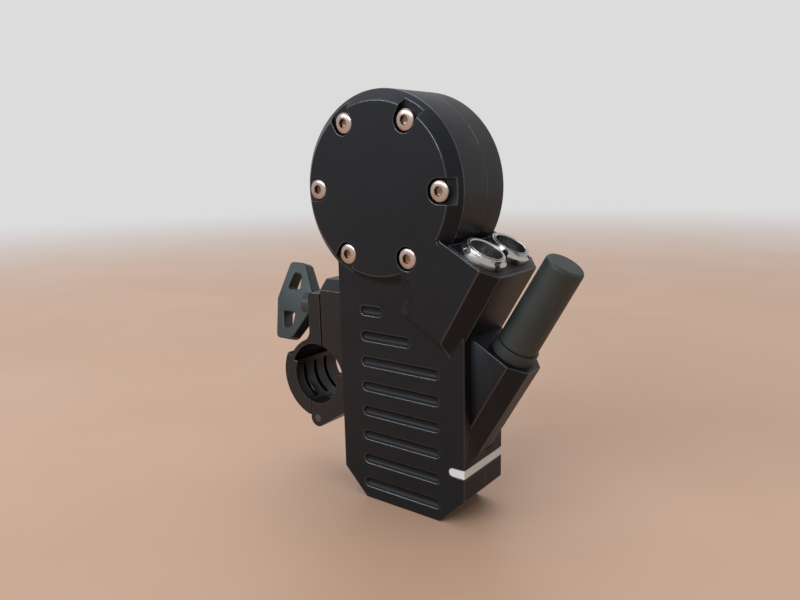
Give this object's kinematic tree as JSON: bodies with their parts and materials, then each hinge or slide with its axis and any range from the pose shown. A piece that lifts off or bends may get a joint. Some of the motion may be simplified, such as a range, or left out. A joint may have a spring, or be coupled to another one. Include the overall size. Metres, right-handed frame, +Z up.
{
  "type": "follow focus drive unit",
  "caption": "Rod-mounted follow focus motor: round geared head on a slim ribbed body, hinged rod clamp with wing knob, slanted sockets and stub antenna, drive gear on the back",
  "frame": {"origin": "middle of the flat base, half-way through the body's width and thickness", "axes": "+Z up through the round head, +Y to the back along the camera rod and the drive shaft, +X to the right seen from the front"},
  "size_m": [0.0929, 0.0332, 0.1054],
  "materials": {
    "housing": "black anodised, satin",
    "steel": "plain",
    "bright": "bright turned",
    "diffuser": "milky diffuser",
    "insulator": "moulded",
    "contact": "gold plated",
    "copper": "enamelled copper wire",
    "board": "solder mask",
    "antenna": "moulded rubber",
    "knob": "grey anodised, satin"
  },
  "bodies": {
    "chassis": {"front_housing": "housing", "rear_housing": "housing", "housing_screws": "steel", "rear_cover_screws": "steel", "light_strip": "diffuser", "socket_panel": "housing", "socket_shell_front": "bright", "socket_shell_rear": "bright", "socket_nut_front": "bright", "socket_nut_rear": "bright", "socket_insert_front": "insulator", "socket_insert_rear": "insulator", "socket_contacts": "contact", "antenna_connector": "contact", "antenna_collar": "antenna", "antenna_whip": "antenna", "main_board": "board", "board_components": "insulator", "board_screws": "steel", "encoder_board": "board", "motor_stator": "steel", "motor_windings": "copper", "motor_plate": "bright", "motor_bearings": "steel", "ring_gear": "steel", "output_bearing": "steel", "clamp_block": "housing", "clamp_block_screws": "steel", "hinge_pin": "steel"},
    "output": {"planet_carrier": "steel", "drive_gear": "housing", "gear_washer": "steel", "gear_screw": "steel"},
    "rotor": {"motor_rotor": "steel", "motor_shaft": "steel", "sun_gear": "steel"},
    "planet_1": {"planet_gear_1": "steel"},
    "planet_2": {"planet_gear_2": "steel"},
    "planet_3": {"planet_gear_3": "steel"},
    "jaw": {"swing_jaw": "housing"},
    "knob": {"clamp_screw": "steel", "knob_washer": "steel", "wing_knob": "knob"}
  },
  "joints": [
    {"name": "rotor_spin", "type": "hinge", "parent": "chassis", "child": "rotor", "pos_m": [-0.0043, 0, 0.0819], "axis": [0, 1, 0], "continuous": true},
    {"name": "drive_output", "type": "hinge", "parent": "chassis", "child": "output", "pos_m": [-0.0043, 0, 0.0819], "axis": [0, 1, 0], "continuous": true},
    {"name": "planet_spin_1", "type": "hinge", "parent": "output", "child": "planet_1", "pos_m": [-0.0043, 0, 0.0744], "axis": [0, 1, 0], "continuous": true},
    {"name": "planet_spin_2", "type": "hinge", "parent": "output", "child": "planet_2", "pos_m": [-0.0108, 0, 0.08565], "axis": [0, 1, 0], "continuous": true},
    {"name": "planet_spin_3", "type": "hinge", "parent": "output", "child": "planet_3", "pos_m": [0.00219, 0, 0.08565], "axis": [0, 1, 0], "continuous": true},
    {"name": "jaw_swing", "type": "hinge", "parent": "chassis", "child": "jaw", "pos_m": [-0.0295, 0, 0.0183], "axis": [0, -1, 0], "range_deg": [0, 50]},
    {"name": "knob_turn", "type": "hinge", "parent": "jaw", "child": "knob", "pos_m": [-0.0375, 0, 0.04866], "axis": [1, 0, 0], "continuous": true}
  ],
  "couplings": [
    {"joint": "drive_output", "follows": "rotor_spin", "ratio": 0.2},
    {"joint": "planet_spin_1", "follows": "rotor_spin", "ratio": -0.53333},
    {"joint": "planet_spin_2", "follows": "rotor_spin", "ratio": -0.53333},
    {"joint": "planet_spin_3", "follows": "rotor_spin", "ratio": -0.53333}
  ]
}
